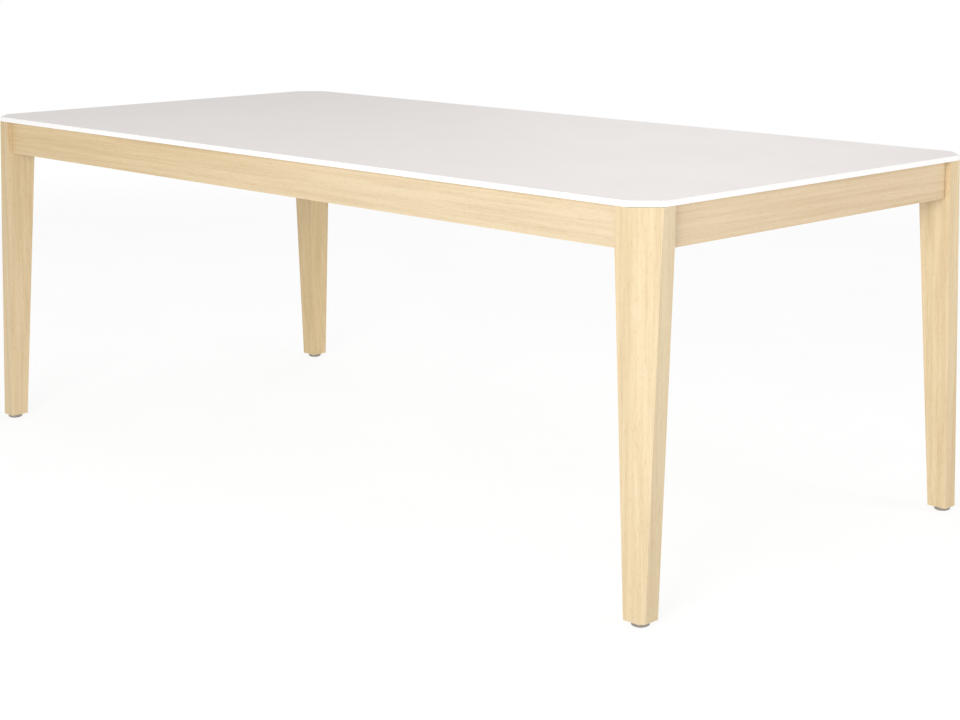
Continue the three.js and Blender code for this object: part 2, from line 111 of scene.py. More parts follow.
def add_camera():
    data = bpy.data.cameras.new("camera")
    data.sensor_width = SENSOR_WIDTH_MM
    data.lens = CAMERA_LENS_MM
    data.shift_y = CAMERA_SHIFT_Y
    data.clip_end = 2 * FLOOR_RADIUS
    camera = bpy.data.objects.new("camera", data)
    camera.location = CAMERA_PLACE
    camera.rotation_mode = "QUATERNION"
    back = back_vector(CAMERA_AZIMUTH, CAMERA_ELEVATION)
    camera.rotation_quaternion = (-back).to_track_quat("-Z", "Y")
    bpy.context.scene.collection.objects.link(camera)
    bpy.context.scene.camera = camera


def add_soft_boxes():
    middle = (cad_low + cad_high) / 2
    for name, (place, diameter, power) in SOFT_BOXES.items():
        data = bpy.data.lights.new(name, "AREA")
        data.shape = "DISK"
        data.size = diameter
        data.energy = power
        light = bpy.data.objects.new(name, data)
        light.location = place
        light.rotation_mode = "QUATERNION"
        light.rotation_quaternion = (middle - light.location).to_track_quat("-Z", "Y")
        bpy.context.scene.collection.objects.link(light)


def set_sky():
    """An even white surround that looks pure white to the camera and lights the table a little less."""
    world = bpy.data.worlds.new("studio")
    world.use_nodes = True
    tree = world.node_tree
    background = tree.nodes["Background"]
    background.inputs["Color"].default_value = grey(1.0)
    path = tree.nodes.new("ShaderNodeLightPath")
    strength = tree.nodes.new("ShaderNodeMapRange")
    strength.inputs["To Min"].default_value = SKY_STRENGTH
    strength.inputs["To Max"].default_value = 1.0
    tree.links.new(path.outputs["Is Camera Ray"], strength.inputs["Value"])
    tree.links.new(strength.outputs["Result"], background.inputs["Strength"])
    bpy.context.scene.world = world
    bpy.context.scene.view_settings.view_transform = "Standard"


# ---------------------------------------------------------------- node trees

# How alike a surface's own direction and its rounded one are, on a flat face and on a full edge.
FLAT_LIKENESS = 0.995
EDGE_LIKENESS = 0.8
EDGE_SAMPLES = 6

# The Mix node's colour sockets share their names with others on it, so they go by number.
MIX_SHARE = 0
MIX_FIRST = 6
MIX_SECOND = 7
MIX_RESULT = 2


def grey(value):
    return (value, value, value, 1.0)


class Painter:
    """One material's node tree, filled by short calls that each return an output socket."""

    def __init__(self, name):
        self.material = bpy.data.materials.new(name)
        self.material.use_nodes = True
        self.tree = self.material.node_tree
        self.tree.nodes.clear()

    def add(self, kind, inputs=None, output=0, **settings):
        node = self.tree.nodes.new(kind)
        for name, value in settings.items():
            setattr(node, name, value)
        for name, value in (inputs or {}).items():
            if isinstance(value, bpy.types.NodeSocket):
                self.tree.links.new(value, node.inputs[name])
            else:
                node.inputs[name].default_value = value
        return node.outputs[output]

    def coordinates(self):
        return self.add("ShaderNodeTexCoord", output="Object")

    def split(self, vector):
        node = self.add("ShaderNodeSeparateXYZ", {"Vector": vector}).node
        return node.outputs["X"], node.outputs["Y"], node.outputs["Z"]

    def join(self, x, y, z):
        return self.add("ShaderNodeCombineXYZ", {"X": x, "Y": y, "Z": z})

    def maths(self, operation, first, second=0.0):
        return self.add("ShaderNodeMath", {0: first, 1: second}, operation=operation)

    def scaled(self, value, factor):
        return self.maths("MULTIPLY", value, factor)

    def total(self, *values):
        result = values[0]
        for value in values[1:]:
            result = self.maths("ADD", result, value)
        return result

    def vector(self, operation, first, second=(0.0, 0.0, 0.0), output=0):
        return self.add("ShaderNodeVectorMath", {0: first, 1: second}, output, operation=operation)

    def length(self, vector):
        return self.vector("LENGTH", vector, output="Value")

    def noise(self, place, features, detail=2.0, roughness=0.5, output=0):
        """Noise with this many features to a metre, given along each axis or once for all three."""
        along_axes = features if isinstance(features, tuple) else (features, features, features)
        stretched = self.vector("MULTIPLY", place, along_axes)
        inputs = {"Vector": stretched, "Scale": 1.0, "Detail": detail, "Roughness": roughness}
        return self.add("ShaderNodeTexNoise", inputs, output)

    def remap(self, value, low, high, to_low=0.0, to_high=1.0):
        """Eases from to_low, where the value is low or less, to to_high, where it is high or more."""
        inputs = {"Value": value, "From Min": low, "From Max": high, "To Min": to_low, "To Max": to_high}
        return self.add("ShaderNodeMapRange", inputs, interpolation_type="SMOOTHSTEP")

    def mix(self, share, first, second, blend="MIX"):
        inputs = {MIX_SHARE: share, MIX_FIRST: first, MIX_SECOND: second}
        return self.add("ShaderNodeMix", inputs, MIX_RESULT, data_type="RGBA", blend_type=blend)

    def multiply_colours(self, first, second):
        return self.mix(1.0, first, second, "MULTIPLY")

    def object_value(self, name, output="Color"):
        """A value that each object carries for itself."""
        settings = {"attribute_type": "OBJECT", "attribute_name": name}
        return self.add("ShaderNodeAttribute", output=output, **settings)

    def bump(self, height, depth):
        """Surface relief, in which a height of 0 to 1 stands for `depth` metres."""
        return self.add("ShaderNodeBump", {"Height": height, "Distance": depth, "Strength": 1.0})

    def edge(self, radius):
        """0 on flat faces and up to 1 where the surface turns within `radius` metres."""
        rounded = self.add("ShaderNodeBevel", {"Radius": radius}, samples=EDGE_SAMPLES)
        normal = self.add("ShaderNodeNewGeometry", output="Normal")
        likeness = self.vector("DOT_PRODUCT", rounded, normal, "Value")
        return self.remap(likeness, FLAT_LIKENESS, EDGE_LIKENESS)

    def upward(self):
        """The height part of the surface's direction: 1 on top, 0 on walls, -1 underneath."""
        return self.split(self.add("ShaderNodeNewGeometry", output="Normal"))[2]

    def surface(self, **inputs):
        """Ends the tree in a Principled shader. In a socket's name an underscore stands for a space."""
        sockets = {name.replace("_", " "): value for name, value in inputs.items()}
        shader = self.add("ShaderNodeBsdfPrincipled", sockets)
        end = self.tree.nodes.new("ShaderNodeOutputMaterial")
        self.tree.links.new(shader, end.inputs["Surface"])
        return self.material


# ---------------------------------------------------------------- materials

# A pale, straight-grained hardwood under a satin lacquer.
WOOD_PALE = (0.612, 0.490, 0.314, 1.0)
WOOD_DEEP = (0.478, 0.350, 0.190, 1.0)
WOOD_PORE = (0.40, 0.272, 0.142, 1.0)
WOOD_SANDED_EDGE = (0.655, 0.530, 0.360, 1.0)
WOOD_EDGE_WIDTH = 0.0018
WOOD_RELIEF = 0.00006
RING_PITCH = 0.0034
RING_WANDER = 0.012
LACQUER_ROUGHNESS = 0.3

# Every board is from a tree of its own, so its colour is a little its own as well. The tints are also
# partly painted light and shade: the left legs, which stand in shade, are painted deeper and more
# saturated, and the back right leg and the near right boards paler.
NO_TINT = (1.0, 1.0, 1.0)
RAIL_TINT = (0.94, 0.94, 0.94)
BOARD_TINTS_AND_SHADE = {
    "leg_front_right": (1.0, 1.015, 1.02),
    "leg_back_right": (1.08, 1.08, 1.06),
    "leg_front_left": (0.995, 0.975, 0.925),
    "leg_back_left": (0.985, 0.95, 0.84),
    "short_apron_right": (1.045, 1.035, 1.075),
    "short_apron_left": (0.98, 0.97, 0.95),
    "cross_rail_left": RAIL_TINT,
    "cross_rail_middle": RAIL_TINT,
    "cross_rail_right": RAIL_TINT,
}
# Painted light and shade: the long boards' colour is painted darker and more saturated towards their left
# ends, which lie farther from the lamps, and paler towards their right ends.
LIGHT_FALLOFF_INSET = 0.08
LIGHT_FALLOFF_ENDS = (cad_low.x + LIGHT_FALLOFF_INSET, cad_high.x - LIGHT_FALLOFF_INSET)
PAINTED_LIGHT_FALLOFF = ((1.0, 0.97, 0.89, 1.0), (1.0, 1.025, 1.09, 1.0))


def growth_rings(paint, place):
    """The dark late wood of growth rings: cylinders round the pith, pushed about by slow noise."""
    wander = paint.noise(place, (7.0, 7.0, 0.9), detail=3.0, roughness=0.55, output="Color")
    pushed = paint.vector("MULTIPLY_ADD", wander, (RING_WANDER, RING_WANDER, 0.0))
    pushed.node.inputs[2].default_value = (-RING_WANDER / 2, -RING_WANDER / 2, 0.0)
    across, up, _ = paint.split(paint.vector("ADD", place, pushed))
    radius = paint.length(paint.join(across, up, 0.0))
    ring = paint.maths("FRACT", paint.maths("DIVIDE", radius, RING_PITCH))
    late_wood = paint.maths("MULTIPLY", paint.remap(ring, 0.25, 0.88), paint.remap(ring, 1.0, 0.93))
    strength = paint.remap(paint.noise(place, (45.0, 45.0, 1.6)), 0.3, 0.75, 0.15, 0.7)
    return paint.maths("MULTIPLY", late_wood, strength)


def wood(name, along, roughness=0.5, lacquer=0.08):
    """Solid wood with its fibres along the given axis. Each board carries its own pith, and a tint that
    is partly its own tone and partly painted light and shade; the long aprons along X also get a painted
    falloff of light.
    """
    paint = Painter(name)
    x, y, z = paint.split(paint.coordinates())
    board = {"X": (y, z, x), "Y": (z, x, y), "Z": (x, y, z)}[along]
    place = paint.vector("SUBTRACT", paint.join(*board), paint.object_value("pith", "Vector"))

    def grain(across, lengthwise, **settings):
        return paint.noise(place, (across, across, lengthwise), **settings)

    rings = growth_rings(paint, place)
    fibres = grain(across=820.0, lengthwise=13.0, detail=3.0, roughness=0.6)
    streaks = grain(across=95.0, lengthwise=1.9, detail=3.0, roughness=0.6)
    flecks = paint.remap(grain(across=330.0, lengthwise=52.0), 0.56, 0.74)
    pores = paint.remap(grain(across=1500.0, lengthwise=75.0, detail=1.0), 0.63, 0.72)
    tone_drift = grain(across=4.0, lengthwise=1.1)

    depth = paint.total(
        paint.scaled(rings, 0.5),
        paint.remap(fibres, 0.25, 0.8, 0.0, 0.26),
        paint.remap(streaks, 0.3, 0.75, 0.0, 0.55),
        paint.scaled(flecks, 0.34),
        paint.remap(tone_drift, 0.3, 0.7, -0.24, 0.06),
    )
    colour = paint.mix(depth, WOOD_PALE, WOOD_DEEP)
    colour = paint.mix(paint.scaled(pores, 0.45), colour, WOOD_PORE)
    colour = paint.mix(paint.scaled(paint.edge(WOOD_EDGE_WIDTH), 0.45), colour, WOOD_SANDED_EDGE)
    # the board's tint: partly its own colour, partly painted light and shade
    colour = paint.multiply_colours(colour, paint.object_value("tint"))
    if along == "X":  # only the long aprons run along X
        # painted light and shade along the long aprons: darker and more saturated at the left end, paler
        # at the right
        painted_falloff = paint.mix(paint.remap(x, *LIGHT_FALLOFF_ENDS), *PAINTED_LIGHT_FALLOFF)
        colour = paint.multiply_colours(colour, painted_falloff)

    polish = paint.total(
        paint.remap(fibres, 0.2, 0.8, roughness - 0.04, roughness + 0.06),
        paint.remap(tone_drift, 0.3, 0.7, -0.03, 0.04),
        paint.scaled(pores, 0.12),
    )
    relief = paint.total(paint.scaled(fibres, 0.5), paint.scaled(rings, 0.35), paint.scaled(pores, -0.8))
    return paint.surface(
        Base_Color=colour,
        Roughness=polish,
        Coat_Weight=lacquer,
        Coat_Roughness=LACQUER_ROUGHNESS,
        Normal=paint.bump(relief, WOOD_RELIEF),
    )


# The top: its matt face, the fine grain in it, its underside, and its core where the edge is cut.
TOP_FACE = ((0.900, 0.857, 0.832, 1.0), (0.914, 0.871, 0.846, 1.0))
TOP_GRAIN = (0.84, 0.795, 0.765, 1.0)
TOP_UNDERSIDE = ((0.74, 0.72, 0.69, 1.0), (0.79, 0.77, 0.745, 1.0))
TOP_CORE = ((0.785, 0.772, 0.762, 1.0), (0.810, 0.798, 0.790, 1.0))
TOP_SPECULAR = 0.05
TOP_RELIEF = 0.00002


def white_top():
    """A matt warm white face over a core whose sawn and polished edge is a purer white."""
    paint = Painter("top_white")
    place = paint.coordinates()
    mottle = paint.noise(place, 9.0, detail=4.0, roughness=0.6)
    grain = paint.noise(place, 1400.0, roughness=0.6)
    wear = paint.noise(place, (3.2, 5.0, 3.0), detail=5.0, roughness=0.65)
    scratches = paint.noise(place, (22.0, 160.0, 60.0), detail=4.0, roughness=0.7)
    scuffs = paint.remap(scratches, 0.62, 0.78)
    up = paint.upward()
    side = paint.remap(paint.maths("ABSOLUTE", up), 0.75, 0.35)
    underside = paint.remap(up, -0.4, -0.8)

    patches = paint.remap(mottle, 0.3, 0.7)
    face = paint.mix(patches, *TOP_FACE)
    face = paint.mix(paint.remap(grain, 0.35, 0.7, 0.0, 0.22), face, TOP_GRAIN)
    colour = paint.mix(underside, face, paint.mix(patches, *TOP_UNDERSIDE))
    colour = paint.mix(side, colour, paint.mix(paint.remap(grain, 0.3, 0.7), *TOP_CORE))

    roughness = paint.total(
        paint.remap(wear, 0.3, 0.75, 0.56, 0.64),
        paint.scaled(scuffs, -0.05),
        paint.scaled(underside, 0.15),
    )
    relief = paint.total(grain, paint.scaled(mottle, 0.6))
    return paint.surface(
        Base_Color=colour,
        Roughness=roughness,
        Specular_IOR_Level=TOP_SPECULAR,
        Normal=paint.bump(relief, TOP_RELIEF),
    )


# Zinc on the bolts, nuts and screws, and on the pressed braces and clips: a light and a dark tone.
ZINC = ((0.66, 0.665, 0.67, 1.0), (0.47, 0.475, 0.48, 1.0))
PRESSED_STEEL = ((0.60, 0.605, 0.61, 1.0), (0.42, 0.425, 0.43, 1.0))
STEEL_EDGE_WIDTH = 0.0008
STEEL_EDGE_GAIN = 1.18
STEEL_RELIEF = 0.00002


def plated_steel(name, tones, roughness_range, crystals_to_a_metre):
    """Zinc-plated steel: soft patches of crystals, a slight stain and brighter rubbed edges."""
    light, dark = tones
    paint = Painter(name)
    place = paint.coordinates()
    cells = {"Vector": place, "Scale": crystals_to_a_metre}
    crystal = paint.split(paint.add("ShaderNodeTexVoronoi", cells, output="Color"))[0]
    stain = paint.noise(place, 60.0, detail=4.0, roughness=0.65)
    scratches = paint.remap(paint.noise(place, (2600.0, 180.0, 2600.0)), 0.6, 0.75)

    share = paint.total(paint.scaled(crystal, 0.35), paint.remap(stain, 0.35, 0.75, 0.0, 0.5))
    rubbed = tuple(min(1.0, STEEL_EDGE_GAIN * value) for value in light[:3]) + (1.0,)
    colour = paint.mix(share, light, dark)
    colour = paint.mix(paint.scaled(paint.edge(STEEL_EDGE_WIDTH), 0.7), colour, rubbed)
    roughness = paint.total(
        paint.remap(stain, 0.3, 0.75, *roughness_range),
        paint.scaled(crystal, 0.05),
        paint.scaled(scratches, -0.06),
    )
    relief = paint.total(stain, paint.scaled(scratches, -0.4))
    return paint.surface(
        Base_Color=colour,
        Metallic=1.0,
        Roughness=roughness,
        Normal=paint.bump(relief, STEEL_RELIEF),
    )


# The glides' satin nickel: its two tones, its turning marks and its rubbed edges.
NICKEL = ((0.36, 0.325, 0.28, 1.0), (0.28, 0.25, 0.215, 1.0))
NICKEL_MARKS = (0.24, 0.215, 0.185, 1.0)
NICKEL_RUBBED = (0.72, 0.69, 0.65, 1.0)
NICKEL_EDGE_WIDTH = 0.0007
NICKEL_RELIEF = 0.000015


def turned_nickel(axis):
    """Satin nickel with fine turning marks round the four glides, whose axes are at +-x and +-y."""
    paint = Painter("glide_nickel")
    place = paint.coordinates()
    centred = paint.vector("SUBTRACT", paint.vector("ABSOLUTE", place), (axis.x, axis.y, 0.0))
    x, y, z = paint.split(centred)
    radius = paint.length(paint.join(x, y, 0.0))
    marks = paint.noise(paint.join(radius, z, 0.0), (5200.0, 5200.0, 1.0), detail=3.0, roughness=0.7)
    stain = paint.noise(place, 150.0, detail=4.0, roughness=0.6)
    colour = paint.mix(paint.remap(stain, 0.3, 0.75), *NICKEL)
    colour = paint.mix(paint.remap(marks, 0.5, 0.8, 0.0, 0.35), colour, NICKEL_MARKS)
    colour = paint.mix(paint.scaled(paint.edge(NICKEL_EDGE_WIDTH), 0.6), colour, NICKEL_RUBBED)
    roughness = paint.total(
        paint.remap(marks, 0.3, 0.7, 0.24, 0.34),
        paint.remap(stain, 0.3, 0.75, 0.0, 0.08),
    )
    return paint.surface(
        Base_Color=colour,
        Metallic=1.0,
        Roughness=roughness,
        Normal=paint.bump(marks, NICKEL_RELIEF),
    )


# The pads' dark nylon and the dust from the floor that lies on it.
NYLON = ((0.045, 0.045, 0.045, 1.0), (0.075, 0.074, 0.072, 1.0))
FLOOR_DUST = (0.22, 0.21, 0.195, 1.0)
NYLON_RELIEF = 0.00004


def moulded_nylon():
    """Dark nylon with the fine grain of a mould and a little floor dust on its lower side."""
    paint = Painter("pad_nylon")
    place = paint.coordinates()
    grain = paint.noise(place, 1600.0, detail=3.0, roughness=0.6)
    dust = paint.remap(paint.noise(place, 240.0, detail=4.0, roughness=0.7), 0.45, 0.7)
    worn = paint.maths("MULTIPLY", paint.remap(paint.upward(), -0.5, -0.9), dust)
    colour = paint.mix(paint.remap(grain, 0.3, 0.7), *NYLON)
    colour = paint.mix(paint.scaled(worn, 0.5), colour, FLOOR_DUST)
    roughness = paint.total(paint.remap(grain, 0.3, 0.7, 0.55, 0.68), paint.scaled(worn, 0.15))
    return paint.surface(Base_Color=colour, Roughness=roughness, Normal=paint.bump(grain, NYLON_RELIEF))


def studio_floor():
    """A pale floor that turns into the white background away from the table."""
    paint = Painter("studio_floor")
    place = paint.coordinates()
    far = paint.remap(paint.length(place), *FLOOR_FADE)
    cast = paint.remap(paint.noise(place, 3.0, detail=4.0), 0.3, 0.7)
    paper = paint.mix(cast, *map(grey, FLOOR_PAPER))
    material = paint.surface(
        Base_Color=paint.mix(far, paper, grey(0.0)),
        Roughness=0.9,
        Specular_IOR_Level=0.0,
        Emission_Color=grey(1.0),
        Emission_Strength=paint.remap(far, 0.0, 1.0, FLOOR_GLOW, 1.0),
    )
    # The glow is even and all round, so the render needn't aim samples at it.
    material.cycles.emission_sampling = "NONE"
    return material


# ---------------------------------------------------------------- mesh helpers

SMOOTH_BELOW = math.radians(38)  # a sharper bend than this is an edge


def add_turned(mesh, rings, sides, place=Matrix(), hollow=False):
    """Adds a body of revolution round Z. A ring is (radius, height), lowest first up the outside, and
    both may be functions of the angle. A hollow body's last ring joins its first."""
    loops = []
    for radius, height in rings:
        loop = []
        for step in range(sides):
            angle = math.tau * step / sides
            reach = radius(angle) if callable(radius) else radius
            lift = height(angle) if callable(height) else height
            point = Vector((reach * math.cos(angle), reach * math.sin(angle), lift))
            loop.append(mesh.verts.new(place @ point))
        loops.append(loop)
    upper_loops = loops[1:] + loops[:1] if hollow else loops[1:]
    for lower, upper in zip(loops, upper_loops):
        for step in range(sides):
            after = (step + 1) % sides
            mesh.faces.new((lower[step], lower[after], upper[after], upper[step]))
    if not hollow:
        mesh.faces.new(loops[0][::-1])
        mesh.faces.new(loops[-1])


def arc(centre, radius, start, end, steps, rise=None):
    """Points of an arc in a turned profile, from one angle in degrees to another.

    With `rise` it is an ellipse's arc: `radius` is the ellipse's reach outwards and `rise` upwards.
    """
    angles = [math.radians(start + (end - start) * step / steps) for step in range(steps + 1)]
    rise = rise or radius
    return [(centre[0] + radius * math.cos(a), centre[1] + rise * math.sin(a)) for a in angles]


def add_piece(name, mesh, material, slot, body, *replaced):
    """An object of its own, in the frame of the CAD, that rides on a body and may stand for CAD nodes."""
    data = bpy.data.meshes.new(name)
    mesh.to_mesh(data)
    mesh.free()
    data.materials.append(material)
    data.shade_smooth()
    data.set_sharp_from_angle(angle=SMOOTH_BELOW)
    piece = bpy.data.objects.new(name, data)
    bpy.context.scene.collection.objects.link(piece)
    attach(piece, body)
    if replaced:
        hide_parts(*replaced)


def pointing(direction, start):
    """A place at `start` whose Z runs along `direction`."""
    return Matrix.Translation(start) @ direction.to_track_quat("Z", "Y").to_matrix().to_4x4()


def span(name, direction):
    """How far a CAD node reaches along a direction, from lowest to highest."""
    reach = [direction.dot(vertex.co) for vertex in nodes[name].data.vertices]
    return min(reach), max(reach)


def middle_of(name):
    low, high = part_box(name)
    return (low + high) / 2


# ---------------------------------------------------------------- easing the CAD's edges

WELD_DISTANCE = 0.00001
FLAT_WITHIN = math.radians(1)  # faces that bend less than this are one flat face


def weld_group():
    """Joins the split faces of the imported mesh, drops its flat normals and smooths its curved faces."""
    group = bpy.data.node_groups.new("weld_and_smooth", "GeometryNodeTree")
    for way in ("INPUT", "OUTPUT"):
        group.interface.new_socket("Geometry", in_out=way, socket_type="NodeSocketGeometry")
    enter = group.nodes.new("NodeGroupInput")
    leave = group.nodes.new("NodeGroupOutput")
    weld = group.nodes.new("GeometryNodeMergeByDistance")
    weld.inputs["Distance"].default_value = WELD_DISTANCE
    drop = group.nodes.new("GeometryNodeRemoveAttribute")
    drop.inputs["Name"].default_value = "custom_normal"
    angle = group.nodes.new("GeometryNodeInputMeshEdgeAngle")
    gentle = group.nodes.new("FunctionNodeCompare")
    gentle.operation = "LESS_THAN"
    gentle.inputs["B"].default_value = SMOOTH_BELOW
    edges = group.nodes.new("GeometryNodeSetShadeSmooth")
    edges.domain = "EDGE"
    faces = group.nodes.new("GeometryNodeSetShadeSmooth")
    chain = [enter, weld, drop, edges, faces, leave]
    for before, after in zip(chain, chain[1:]):
        group.links.new(before.outputs[0], after.inputs[0])
    group.links.new(angle.outputs["Unsigned Angle"], gentle.inputs["A"])
    group.links.new(gentle.outputs["Result"], edges.inputs["Shade Smooth"])
    return group


WELD = weld_group()


def finish_node(name, material, edge_radius=0.0, segments=2):
    """Gives a CAD node its material, and eases its edges with modifiers that leave its own mesh alone."""
    node = nodes[name]
    for slot in node.material_slots:
        slot.link = "OBJECT"
        slot.material = material
    node.modifiers.new("weld", "NODES").node_group = WELD
    if edge_radius:
        planar = node.modifiers.new("planar", "DECIMATE")
        planar.decimate_type = "DISSOLVE"
        planar.angle_limit = FLAT_WITHIN
        bevel = node.modifiers.new("ease", "BEVEL")
        bevel.width = edge_radius
        bevel.segments = segments
        bevel.limit_method = "ANGLE"
        bevel.angle_limit = SMOOTH_BELOW
    weighted = node.modifiers.new("weighted", "WEIGHTED_NORMAL")
    weighted.keep_sharp = not edge_radius


# ---------------------------------------------------------------- boards

PITH_NEAREST = 0.05
PITH_FARTHEST = 0.16
PITH_START = 3.0  # how far up or down the trunk a board may come from
BOARD_SEED = 7
LEG_EASE = 1.4 * MM
APRON_EASE = 0.9 * MM
RAIL_EASE = 1.6 * MM
BOARD_EASE_SEGMENTS = 3


def cut_board(name, along, chance):
    """Places the tree's centre somewhere beside the board, so that each board has a cut of its own."""
    middle = middle_of(name)
    across = {"X": (middle.y, middle.z), "Y": (middle.z, middle.x), "Z": (middle.x, middle.y)}[along]
    angle = chance.uniform(0, math.tau)
    distance = chance.uniform(PITH_NEAREST, PITH_FARTHEST)
    start = chance.uniform(-PITH_START, PITH_START)
    nodes[name]["pith"] = (
        across[0] + distance * math.cos(angle),
        across[1] + distance * math.sin(angle),
        start,
    )
    # a tint that is partly the board's own tone and partly painted light and shade
    nodes[name]["tint"] = BOARD_TINTS_AND_SHADE.get(name, NO_TINT)


def finish_boards():
    chance = random.Random(BOARD_SEED)
    leg_wood = wood("leg_wood", "Z")
    long_wood = wood("long_apron_wood", "X")
    short_wood = wood("short_apron_wood", "Y")
    rail_wood = wood("rail_wood", "Y", roughness=0.62, lacquer=0.0)
    boards = [(f"leg_{corner}", "Z", leg_wood, LEG_EASE) for corner in CORNERS]
    boards += [(f"long_apron_{side}", "X", long_wood, APRON_EASE) for side in ("back", "front")]
    boards += [(f"short_apron_{side}", "Y", short_wood, APRON_EASE) for side in ("left", "right")]
    boards += [(name, "Y", rail_wood, RAIL_EASE) for name in CROSS_RAILS]
    for name, along, material, edge_radius in boards:
        cut_board(name, along, chance)
        finish_node(name, material, edge_radius, BOARD_EASE_SEGMENTS)


# ---------------------------------------------------------------- fasteners

CLIP_EASE = 0.4 * MM
BRACE_EASE = 0.6 * MM

# The M8 machine thread of the hanger bolts and of the glides' stems.
M8_ROOT = 3.25 * MM
M8_CREST = 3.95 * MM
M8_PITCH = 1.25 * MM
THREAD_SIDES = 24
ROWS_PER_TURN = 8
FADE_TURNS = 1.0
FLANK_GAIN = 1.25  # above 1 it leaves a narrow flat on the thread's crest


def ridge(height, angle, pitch):
    """How far up a right-handed thread's flank a point is, from 0 at its root to 1 at its crest."""
    turn = (height / pitch - angle / math.tau) % 1.0
    return min(1.0, FLANK_GAIN * (1.0 - abs(2.0 * turn - 1.0)))


def thread_rings(low, high, pitch, root, crest, rows=ROWS_PER_TURN):
    """Rings of a thread from low to high, which runs out over a turn at both ends."""
    rings = []
    count = max(2, round((high - low) / pitch * rows))
    for row in range(count + 1):
        height = low + (high - low) * row / count
        fade = min(1.0, (height - low) / (FADE_TURNS * pitch), (high - height) / (FADE_TURNS * pitch))

        def radius(angle, height=height, fade=fade):
            return root + (crest - root) * fade * ridge(height, angle, pitch)

        rings.append((radius, height))
    return rings


def hexagon(across_flats):
    """The radius of a hexagon at each angle."""

    def radius(angle):
        turn = (angle + math.pi / 6) % (math.pi / 3) - math.pi / 6
        return across_flats / 2 / math.cos(turn)

    return radius


# The flange nut: its width across the flats, the radii of its bore and flange, and its edges.
NUT_SIDES = 48
NUT_FLATS = 13 * MM
NUT_BORE = 4.15 * MM
NUT_BORE_MOUTH = 0.65 * MM
NUT_CHAMFER_WIDTH = 0.25 * MM
NUT_CHAMFER_SLOPE = math.tan(math.radians(30))
NUT_FLANGE = 8.5 * MM
NUT_FLANGE_EASE = 0.3 * MM
NUT_FLANGE_RIM = 1.0 * MM
NUT_FLANGE_BEVEL = 0.4 * MM
NUT_HEXAGON_FROM = 2.6 * MM


def flange_nut_rings(high):
    """A hexagon nut with a conical flange. Its bearing face is at z = 0."""
    side = hexagon(NUT_FLATS)
    chamfer_from = NUT_FLATS / 2 - NUT_CHAMFER_WIDTH

    def chamfer(angle):
        return high - max(0.0, side(angle) - chamfer_from) * NUT_CHAMFER_SLOPE

    return [
        (NUT_FLANGE - NUT_FLANGE_EASE, 0.0),
        (NUT_FLANGE, NUT_FLANGE_EASE),
        (NUT_FLANGE, NUT_FLANGE_RIM),
        (NUT_FLANGE - NUT_FLANGE_BEVEL, NUT_FLANGE_RIM + NUT_FLANGE_BEVEL),
        (side, NUT_HEXAGON_FROM),
        (side, chamfer),
        (chamfer_from, high),
        (NUT_BORE + NUT_BORE_MOUTH, high),
        (NUT_BORE, high - NUT_BORE_MOUTH),
        (NUT_BORE, NUT_BORE_MOUTH),
        (NUT_BORE + NUT_BORE_MOUTH, 0.0),
    ]


# The hanger bolt, from its machine end up: the lengths of its stretches, then its radii.
BOLT_CHAMFER_END = 0.6 * MM
BOLT_MACHINE_START = 0.9 * MM
BOLT_MACHINE_END = 24 * MM
BOLT_RUN_OUT = 0.8 * MM  # between the plain shank and each of its threads
BOLT_WOOD_START = 34 * MM
BOLT_WOOD_PITCH = 3.2 * MM
BOLT_WOOD_ROWS_PER_TURN = 10
BOLT_TIP = 4 * MM
BOLT_CHAMFER = 2.7 * MM
BOLT_SHANK = 3.9 * MM
BOLT_WOOD_ROOT = 2.7 * MM
BOLT_POINT = 0.4 * MM


def hanger_bolt_rings(length):
    """A bolt with a machine thread at its low end and a coarse wood thread at its high end."""
    start = [(BOLT_CHAMFER, 0.0), (M8_ROOT, BOLT_CHAMFER_END)]
    machine = thread_rings(BOLT_MACHINE_START, BOLT_MACHINE_END, M8_PITCH, M8_ROOT, M8_CREST)
    shank = [
        (BOLT_SHANK, BOLT_MACHINE_END + BOLT_RUN_OUT),
        (BOLT_SHANK, BOLT_WOOD_START - BOLT_RUN_OUT),
    ]
    coarse = thread_rings(
        BOLT_WOOD_START,
        length - BOLT_TIP,
        BOLT_WOOD_PITCH,
        BOLT_WOOD_ROOT,
        M8_CREST,
        BOLT_WOOD_ROWS_PER_TURN,
    )
    return start + machine + shank + coarse + [(BOLT_POINT, length)]


def add_corner_fasteners(corner, zinc):
    """Replaces a corner's hanger bolts and nuts with threaded ones, in the same places."""
    side_x, side_y = CORNERS[corner]
    outward = Vector((side_x, side_y, 0)).normalized()
    across = Vector((-outward.y, outward.x, 0))
    for row in ("lower", "upper"):
        bolt_name = f"hanger_bolt_{corner}_{row}"
        nut_name = f"flange_nut_{corner}_{row}"
        height = middle_of(bolt_name).z
        offset = sum(span(bolt_name, across)) / 2
        bolt_low, bolt_high = span(bolt_name, outward)
        nut_low, nut_high = span(nut_name, outward)
        axis = across * offset + UP * height

        bolt = bmesh.new()
        place = pointing(outward, axis + outward * bolt_low)
        add_turned(bolt, hanger_bolt_rings(bolt_high - bolt_low), THREAD_SIDES, place)
        add_piece(f"threaded_{bolt_name}", bolt, zinc, "zinc_hardware", FIXED_BODY, bolt_name)

        nut = bmesh.new()
        place = pointing(-outward, axis + outward * nut_high)
        add_turned(nut, flange_nut_rings(nut_high - nut_low), NUT_SIDES, place, hollow=True)
        add_piece(f"chamfered_{nut_name}", nut, zinc, "zinc_hardware", FIXED_BODY, nut_name)


# The wood screws' radii.
SCREW_POINT = 0.25 * MM
SCREW_CORE = 1.25 * MM
SCREW_CREST = 1.55 * MM
SCREW_NECK = 2.0 * MM
SCREW_HEAD = 4.0 * MM
